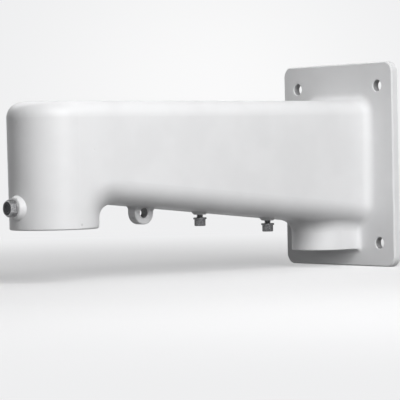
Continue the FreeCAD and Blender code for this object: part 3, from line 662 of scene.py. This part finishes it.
def draw_line(name, points):
    """A mesh line through points of the XZ plane, drawn by extruding its first point."""
    piece = add_piece(name, bpy.ops.mesh.primitive_plane_add, size=1 * MM)
    edit(piece)
    bpy.ops.mesh.select_mode(type="VERT")
    bpy.ops.mesh.select_all(action="SELECT")
    bpy.ops.mesh.merge(type="CENTER")
    bpy.ops.mesh.select_all(action="SELECT")
    bpy.ops.transform.translate(value=(points[0][0], 0, points[0][1]))
    for (last_out, last_up), (out, up) in zip(points, points[1:]):
        step = (out - last_out, 0, up - last_up)
        bpy.ops.mesh.extrude_region_move(TRANSFORM_OT_translate={"value": step})
    stop_editing()
    return piece


def wind(piece, pitch, turns, steps):
    """Wind a line round the Z axis as a helix."""
    step = piece.modifiers.new("Wind", "SCREW")
    step.screw_offset = pitch
    step.iterations = turns
    step.steps = step.render_steps = steps
    step.use_merge_vertices = True
    step.merge_threshold = WIND_NEAR
    apply_modifiers(piece)


# Depth and crest of a metric thread as shares of its pitch, slope of its sides, and steps in a turn
METRIC_DEPTH = 0.6134
METRIC_CREST = 1 / 8
METRIC_FLANK = math.radians(30)
METRIC_STEPS = 40
# Turns that are wound past each end of a metric thread and cut off again
SPARE_TURNS = 2


def outer_thread(name, radius, pitch, low, high):
    """A closed length of metric thread on the Z axis, from low up to high."""
    depth = METRIC_DEPTH * pitch
    flank = depth * math.tan(METRIC_FLANK)
    crest = METRIC_CREST * pitch
    inner = radius - depth
    start = low - SPARE_TURNS * pitch
    turns = math.ceil((high - low) / pitch) + 2 * SPARE_TURNS
    points = [(inner, start), (radius, start + flank), (radius, start + flank + crest),
              (inner, start + 2 * flank + crest), (inner, start + pitch)]
    thread = draw_line(name, points)
    wind(thread, pitch, turns, METRIC_STEPS)
    clean(thread)
    cut_off(thread, (0, 0, high), (0, 0, 1))
    cut_off(thread, (0, 0, low), (0, 0, -1))
    clean(thread)
    return thread


def cylinder(name, radius, low, high, sides=SIDES):
    """A closed cylinder on the Z axis from low up to high."""
    return add_piece(name, bpy.ops.mesh.primitive_cylinder_add, vertices=sides, radius=radius,
                     depth=high - low, location=(0, 0, (low + high) / 2))


def cone(name, low_radius, high_radius, low, high):
    """A closed cone or part of one on the Z axis from low up to high."""
    return add_piece(name, bpy.ops.mesh.primitive_cone_add, vertices=SIDES, radius1=low_radius,
                     radius2=high_radius, depth=high - low, location=(0, 0, (low + high) / 2))


# Least upward share of the direction of a face that counts as level
LEVEL = 0.9


def ring(name, inner, outer, low, high, corner):
    """A flat washer on the Z axis with softened corners."""
    piece = cylinder(name, outer, low, high)
    settle(piece)
    edit(piece)
    pick(piece, "faces", lambda face: abs(face.normal.z) > LEVEL)
    bpy.ops.mesh.inset(thickness=outer - inner, use_individual=True)
    bpy.ops.mesh.bridge_edge_loops()
    stop_editing()
    clean(piece)
    soften(piece, corner)
    clean(piece)
    return piece


# Cap screws and washers

# Height of the cut above the rim's round, and share of the plain rim where the head's other end is cut
RIM_CUT = 0.15 * MM
BEARING_CUT = 0.35
# Share of the plain rim past which the grooves start
GROOVE_START = 0.95
# Chamfer at the mouth of the key socket, and radius of the drill's point at its floor
KEY_LEAD = 0.35 * MM
DRILL_POINT = 0.3 * MM
# Steps in the round at the rim of the head
RIM_STEPS = 4
# Heights nearer than this are the same
SAME_HEIGHT = 0.01 * MM
# Round on the corners of the washers
WASHER_CORNER = 0.25 * MM


def screw_head(name, sizes, radius):
    """The knurled head of a cap screw, from its bearing face at Z 0 down, with its key socket."""
    low = -sizes.head_height
    head = cylinder(name, radius, low, 0, sides=2 * sizes.knurls)
    settle(head)
    edit(head)
    for height in (low + sizes.rim_round + RIM_CUT, low + sizes.plain_rim,
                   -sizes.plain_rim, -BEARING_CUT * sizes.plain_rim):
        bpy.ops.mesh.select_all(action="SELECT")
        bpy.ops.mesh.bisect(plane_co=(0, 0, height), plane_no=(0, 0, 1), threshold=CUT_NEAR)
    share = 1 - sizes.knurl_depth / radius
    spacing = FULL_TURN / (2 * sizes.knurls)

    def in_groove(vertex):
        step = round(math.atan2(vertex.co.y, vertex.co.x) / spacing)
        between = low + GROOVE_START * sizes.plain_rim < vertex.co.z < -GROOVE_START * sizes.plain_rim
        return step % 2 == 0 and between

    pick(head, "verts", in_groove)
    bpy.ops.transform.resize(value=(share, share, 1), center_override=(0, 0, 0))
    pick(head, "edges", lambda edge: all(vertex.co.z < low + SAME_HEIGHT for vertex in edge.verts))
    bpy.ops.mesh.bevel(offset=sizes.rim_round, segments=RIM_STEPS, affect="EDGES")
    stop_editing()
    corner = sizes.key / 2 / HEXAGON
    key = cylinder("key_cutter", corner, low - RUN_OUT, low + sizes.key_depth, sides=HEX_SIDES)
    combine(head, key, "DIFFERENCE")
    mouth = cone("mouth_cutter", corner + KEY_LEAD + RUN_OUT, corner - KEY_LEAD,
                 low - RUN_OUT, low + 2 * KEY_LEAD)
    combine(head, mouth, "DIFFERENCE")
    point = cone("drill_cutter", sizes.key / 2 - KEY_LEAD, DRILL_POINT, low + sizes.key_depth - KEY_LEAD,
                 low + sizes.key_depth + sizes.key / 4)
    combine(head, point, "DIFFERENCE")
    return head


def cap_screw(name, node, sizes):
    """A socket head cap screw in place of the one in the frame, head down."""
    middle, low, high = box_of(node)
    length = high.z - low.z - sizes.head_height
    head = screw_head(name, sizes, (high.x - low.x) / 2)
    thread = outer_thread(name + "_thread", sizes.radius, sizes.pitch, -RUN_OUT, length)
    tip = sizes.radius - sizes.tip
    below = -2 * RUN_OUT
    blank = cone("tip_blank", tip + length - below, tip, below, length)
    combine(thread, blank, "INTERSECT")
    combine(head, thread, "UNION")
    clean(head)
    head.location = (middle.x, middle.y, low.z + sizes.head_height)
    settle(head)
    return head


class BRACKET_OT_cap_screws(bpy.types.Operator):
    """Model the two knurled cap screws under the arm and their washers"""
    bl_idname = "bracket.cap_screws"
    bl_label = "Cap screws"

    def execute(self, context):
        """Model both screws with their washers."""
        sizes = context.scene.bracket_screws
        for side in ("front", "rear"):
            screw = cap_screw(f"cap_screw_{side}", f"{side}_screw", sizes)
            dress(screw, steel("Dark steel"), "dark_steel", f"{side}_screw")
            middle, low, high = box_of(f"{side}_washer")
            washer = ring(f"flat_washer_{side}", sizes.washer_bore, (high.x - low.x) / 2,
                          low.z - middle.z, high.z - middle.z, WASHER_CORNER)
            washer.location = middle
            settle(washer)
            dress(washer, steel("Dark steel"), "dark_steel", f"{side}_washer")
        return {"FINISHED"}


# Lock bolt

# Rounds on the bolt's head and on its ring, and the least angle of a corner that is rounded
HEAD_CORNER = 0.22 * MM
RING_CORNER = 0.2 * MM
HEAD_CORNER_ANGLE = math.radians(20)


def face_outwards(piece, place):
    """Turn a piece made on the Z axis so that it points out along -Y, and put it in its place."""
    piece.rotation_euler = (math.radians(90), 0, 0)
    piece.location = place
    settle(piece)


class BRACKET_OT_lock_bolt(bpy.types.Operator):
    """Model the dished hexagon bolt at the end of the drum and its washer"""
    bl_idname = "bracket.lock_bolt"
    bl_label = "Lock bolt"

    def execute(self, context):
        """Model the bolt on the Z axis with its head up, then turn it into its place."""
        sizes = context.scene.bracket_lock
        middle, low, high = box_of("lock_bolt")
        length = high.y - low.y - sizes.head_height
        corner = sizes.flats / 2 / HEXAGON
        top = sizes.head_height
        head = cylinder("hex_lock_bolt", corner, 0, top, sides=HEX_SIDES)
        settle(head)
        rise = top + RUN_OUT
        slope = math.tan(sizes.corner_slope)
        cap = cone("corner_blank", sizes.face_radius + rise / slope,
                   sizes.face_radius - RUN_OUT / slope, -RUN_OUT, rise)
        combine(head, cap, "INTERSECT")
        spread = (sizes.dish_radius - sizes.dish_floor) / sizes.dish_depth
        dish = cone("dish_cutter", sizes.dish_floor, sizes.dish_radius + RUN_OUT * spread,
                    top - sizes.dish_depth, rise)
        combine(head, dish, "DIFFERENCE")
        clean(head)
        soften(head, HEAD_CORNER, HEAD_CORNER_ANGLE)
        thread = outer_thread("lock_thread", sizes.radius, sizes.pitch, -length, RUN_OUT)
        combine(head, thread, "UNION")
        clean(head)
        face_outwards(head, (middle.x, low.y + top, middle.z))
        dress(head, black_steel(sizes), "black_steel", "lock_bolt")
        washer_middle, washer_low, washer_high = box_of("lock_washer")
        half = sizes.washer_thick / 2
        outer = (washer_high.x - washer_low.x) / 2
        washer = ring("lock_ring", sizes.washer_bore, outer, -half, half, RING_CORNER)
        face_outwards(washer, washer_middle)
        dress(washer, steel("Plated steel"), "dark_steel", "lock_washer")
        return {"FINISHED"}


# Pipe threads

# How deep the thread's ridge sits in the wall that carries it, and steps in a turn
SUNK = 0.12 * MM
PIPE_STEPS = 96
# Height of the form that cuts the ridge off at the top, in turns
OVER_TURNS = 4


def bore_thread(name, sizes, radius, out, low, top):
    """Thread ridges that stand on the wall of an upright bore, cut off by the chamfer at its mouth."""
    root = radius + SUNK
    crown = radius - sizes.depth
    flank = sizes.depth * math.tan(sizes.flank)
    start = low + sizes.socket_chamfer - sizes.depth
    turns = math.ceil((top - start) / sizes.pitch) + 1
    ridge = draw_line(name, [(root, start), (crown, start + flank), (crown, start + flank + sizes.crest),
                             (root, start + 2 * flank + sizes.crest)])
    edit(ridge)
    bpy.ops.mesh.select_all(action="SELECT")
    bpy.ops.mesh.edge_face_add()
    bpy.ops.mesh.delete(type="ONLY_FACE")
    stop_editing()
    wind(ridge, sizes.pitch, turns, PIPE_STEPS)
    edit(ridge)
    bpy.ops.mesh.select_mode(type="EDGE")
    bpy.ops.mesh.select_all(action="DESELECT")
    bpy.ops.mesh.select_non_manifold()
    bpy.ops.mesh.fill_holes(sides=0)
    stop_editing()
    clean(ridge)
    over = cylinder("over_cutter", radius + sizes.pitch, top, top + OVER_TURNS * sizes.pitch)
    combine(ridge, over, "DIFFERENCE")
    mouth = low + sizes.socket_chamfer
    rise = sizes.depth + RUN_OUT
    cutter = cone("mouth_cutter", radius + sizes.socket_chamfer + RUN_OUT, radius - rise,
                  low - RUN_OUT, mouth + rise)
    combine(ridge, cutter, "DIFFERENCE")
    clean(ridge)
    ridge.location = (0, -out, 0)
    settle(ridge)
    return ridge


class BRACKET_OT_pipe_threads(bpy.types.Operator):
    """Cut the pipe threads of the drum's socket and of the lower cable entry"""
    bl_idname = "bracket.pipe_threads"
    bl_label = "Pipe threads"

    def execute(self, context):
        """Wind both threads."""
        sizes = context.scene.bracket_threads
        metal = machined_aluminium()
        for bore in ("socket", "entry"):
            measures = [getattr(sizes, f"{bore}_{measure}") for measure in ("radius", "out", "low", "top")]
            dress(bore_thread(f"{bore}_thread", sizes, *measures), metal, "machined_aluminium")
        return {"FINISHED"}


# Casting


class BRACKET_OT_coat_casting(bpy.types.Operator):
    """Give the casting its powder coat, with bare metal in the threaded bores"""
    bl_idname = "bracket.coat_casting"
    bl_label = "Powder coat"

    def execute(self, context):
        """Put the coat on the casting."""
        scene = context.scene
        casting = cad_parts["bracket_casting"]
        casting.data.materials.clear()
        casting.data.materials.append(powder_coat(scene.bracket_coat, scene.bracket_threads))
        return {"FINISHED"}


# Studio

# Of each lamp: azimuth from -Y towards +X and height above the horizon in degrees, distance and width
LAMPS = {
    "key": (75, 15, 2.2, 0.7),
    "near": (66, 38.5, 0.98, 0.5),
    "arm": (80, 30, 1.3, 0.5),
    "front": (30, 15, 2.6, 2.0),
    "side": (100, 35, 2.6, 3.0),
    "left": (-92, 40, 2.2, 1.0),
    "rear": (-120, 60, 2.2, 1.0),
    "back": (180, 20, 2.6, 1.2),
}
# Lamps on the bracket's far side, whose light on the floor has no shadow in front of the bracket
FAR_LAMPS = ("left", "rear", "back")
# Middle of the bracket, which every lamp faces
AIM = Vector((0, -0.19, -0.01))
FLOOR_SIZE = 9.0
# Distances from the bracket at which the lit paper starts to fade and is gone
PAPER_END = 0.3
GLOW_START = 1.0
# Share of the even glow close to the bracket, which lightens its shadow
NEAR_GLOW = 0.25
# Place on the sweep where a painted pool of light makes the backdrop lightest, and how far that reaches
BACKDROP_LIT_POOL = (-4.18, 3.31, 0.24)
LIT_POOL_SPREAD = 1.0
SWEEP_RADIUS = 1.2
SWEEP_STEPS = 24
# The paper: width of its grain, how dark the grain is, roughness and gloss
PAPER_GRAIN = 60 * MM
PAPER_SHADE = 0.985
PAPER_ROUGHNESS = 0.9
PAPER_GLOSS = 0.1
# Width of the camera's sensor in millimetres
SENSOR = 36


def lamp_place(azimuth, height, distance):
    """A place round the middle of the bracket."""
    a, h = math.radians(azimuth), math.radians(height)
    return AIM + distance * Vector((math.sin(a) * math.cos(h), -math.cos(a) * math.cos(h), math.sin(h)))


def add_lamp(name, power):
    """A square soft lamp that faces the bracket."""
    azimuth, height, distance, width = LAMPS[name]
    bpy.ops.object.select_all(action="DESELECT")
    bpy.ops.object.light_add(type="AREA", location=lamp_place(azimuth, height, distance))
    lamp = bpy.context.object
    lamp.name = name + "_lamp"
    lamp.data.energy = power
    lamp.data.shape = "SQUARE"
    lamp.data.size = width
    lamp.rotation_euler = (AIM - lamp.location).to_track_quat("-Z", "Y").to_euler()
    return lamp


def link_light(lamp, floor, state):
    """Let a lamp light the floor alone (INCLUDE) or everything but the floor (EXCLUDE)."""
    lit = bpy.data.collections.new(lamp.name + "_floor")
    lit.objects.link(floor)
    lit.collection_objects[0].light_linking.link_state = state
    lamp.light_linking.receiver_collection = lit


def add_lamps(settings, floor):
    """Every lamp, and for each far one a second that lights the floor without a shadow."""
    for name in LAMPS:
        power = getattr(settings, name + "_power")
        lamp = add_lamp(name, power)
        if name in FAR_LAMPS:
            link_light(lamp, floor, "EXCLUDE")
            fill = add_lamp(name, power)
            fill.name = name + "_floor_lamp"
            fill.data.use_shadow = False
            link_light(fill, floor, "INCLUDE")


def seen_rays(tree):
    """A mask that is 1 for what the camera sees, directly, in gloss or through glass."""
    rays = add_node(tree, "ShaderNodeLightPath").outputs
    mirrored = maths(tree, "MAXIMUM", rays["Is Glossy Ray"], rays["Is Transmission Ray"])
    return maths(tree, "MAXIMUM", rays["Is Camera Ray"], mirrored)


def pale_backdrop(settings):
    """Pale paper that lamps light softly, and that fades into an even glow far from the bracket, lighter in a
    painted pool of light.
    """
    material, tree, shader, place = new_material("Backdrop paper")
    grain = use_group(tree, fine_relief(), {"Place": place, "Width": PAPER_GRAIN, "Detail": 1.0})
    seen = seen_rays(tree)
    darker = [PAPER_SHADE * part for part in settings.floor_colour]
    paper = mix_colour(tree, grain["Height"], rgba(settings.floor_colour), rgba(darker))
    tree.links.new(mix_colour(tree, seen, rgba(settings.bounce_colour), paper), shader.inputs["Base Color"])
    shader.inputs["Roughness"].default_value = PAPER_ROUGHNESS
    shader.inputs["Specular IOR Level"].default_value = PAPER_GLOSS
    far = ramp(tree, away_from(tree, place, AIM), PAPER_END, GLOW_START, NEAR_GLOW)
    # Painted pool of light: the glow is lighter round one place on the sweep
    middle = near_point(tree, place, BACKDROP_LIT_POOL, LIT_POOL_SPREAD)
    glow_colour = mix_colour(tree, middle, rgba(settings.glow_colour), rgba(settings.lit_pool_colour))
    glow = add_node(tree, "ShaderNodeEmission", {"Color": glow_colour, "Strength": seen})
    both = add_node(tree, "ShaderNodeMixShader",
                    {0: far, 1: shader.outputs["BSDF"], 2: glow.outputs["Emission"]})
    output = next(node for node in tree.nodes if node.type == "OUTPUT_MATERIAL")
    tree.links.new(both.outputs["Shader"], output.inputs["Surface"])
    return material


def add_backdrop(settings):
    """A floor under the wall plate's lower edge that sweeps up behind the bracket."""
    floor_height = cad_box[0].z
    floor = add_piece("studio_sweep", bpy.ops.mesh.primitive_plane_add, size=FLOOR_SIZE,
                      location=(0, 0, floor_height))
    settle(floor)
    far = FLOOR_SIZE / 2
    edit(floor)
    pick(floor, "edges", lambda edge: all(vertex.co.y > far - RUN_OUT for vertex in edge.verts))
    bpy.ops.mesh.spin(steps=SWEEP_STEPS, angle=math.radians(-90), axis=(1, 0, 0),
                      center=(0, far, floor_height + SWEEP_RADIUS))
    bpy.ops.mesh.extrude_region_move(TRANSFORM_OT_translate={"value": (0, 0, far)})
    stop_editing()
    floor.rotation_euler.z = settings.camera_turn
    settle(floor)
    clean(floor)
    floor.data.materials.append(pale_backdrop(settings))
    return floor


def add_camera(settings):
    """The camera at the photograph's place and angle."""
    a, dip, roll = settings.camera_turn, settings.camera_dip, settings.camera_roll
    ahead = Vector((-math.sin(a) * math.cos(dip), math.cos(a) * math.cos(dip), -math.sin(dip)))
    level_right = Vector((math.cos(a), math.sin(a), 0))
    level_down = ahead.cross(level_right)
    right = math.cos(roll) * level_right + math.sin(roll) * level_down
    down = -math.sin(roll) * level_right + math.cos(roll) * level_down
    turn = Matrix((right, -down, -ahead)).transposed()
    bpy.ops.object.select_all(action="DESELECT")
    bpy.ops.object.camera_add(location=settings.camera_place, rotation=turn.to_euler())
    camera = bpy.context.object
    camera.name = "photo_camera"
    camera.data.sensor_width = SENSOR
    camera.data.lens = settings.lens
    bpy.context.scene.camera = camera


def add_sky(settings):
    """A little even light from all round, which looks as pale as the far backdrop."""
    world = bpy.data.worlds.new("Studio")
    world.use_nodes = True
    tree = world.node_tree
    tree.nodes.clear()
    light = add_node(tree, "ShaderNodeBackground", {"Color": (1, 1, 1, 1), "Strength": settings.sky})
    pale = add_node(tree, "ShaderNodeBackground", {"Color": rgba(settings.glow_colour), "Strength": 1.0})
    both = add_node(tree, "ShaderNodeMixShader",
                    {0: seen_rays(tree), 1: light.outputs["Background"], 2: pale.outputs["Background"]})
    add_node(tree, "ShaderNodeOutputWorld", {"Surface": both.outputs["Shader"]})
    bpy.context.scene.world = world


class BRACKET_OT_stage(bpy.types.Operator):
    """Set up the camera, the pale floor and the soft studio light"""
    bl_idname = "bracket.stage"
    bl_label = "Stage"

    def execute(self, context):
        """Build the studio."""
        settings = context.scene.bracket_stage
        add_camera(settings)
        floor = add_backdrop(settings)
        add_sky(settings)
        add_lamps(settings, floor)
        context.scene.view_settings.view_transform = "Standard"
        return {"FINISHED"}


class BRACKET_PT_panel(bpy.types.Panel):
    """Panel with the steps that make the bracket"""
    bl_idname = "BRACKET_PT_panel"
    bl_label = "Camera wall bracket"
    bl_space_type = "VIEW_3D"
    bl_region_type = "UI"
    bl_category = "Bracket"

    def draw(self, context):
        """List the operators in the order in which they run."""
        for operator in OPERATORS:
            self.layout.operator(operator.bl_idname)


OPERATORS = (
    BRACKET_OT_stage,
    BRACKET_OT_coat_casting,
    BRACKET_OT_cap_screws,
    BRACKET_OT_lock_bolt,
    BRACKET_OT_pipe_threads,
)
CLASSES = (*SETTINGS.values(), *OPERATORS, BRACKET_PT_panel)


def register():
    """Make the settings, the operators and the panel known."""
    for kind in CLASSES:
        bpy.utils.register_class(kind)
    for name, kind in SETTINGS.items():
        setattr(bpy.types.Scene, name, PointerProperty(type=kind))


def unregister():
    """Undo register."""
    for name in SETTINGS:
        delattr(bpy.types.Scene, name)
    for kind in reversed(CLASSES):
        bpy.utils.unregister_class(kind)


def main():
    """Make the settings known and run every step that builds the bracket and its studio."""
    register()
    bpy.ops.bracket.stage()
    bpy.ops.bracket.coat_casting()
    bpy.ops.bracket.cap_screws()
    bpy.ops.bracket.lock_bolt()
    bpy.ops.bracket.pipe_threads()


if __name__ == "__main__":
    main()
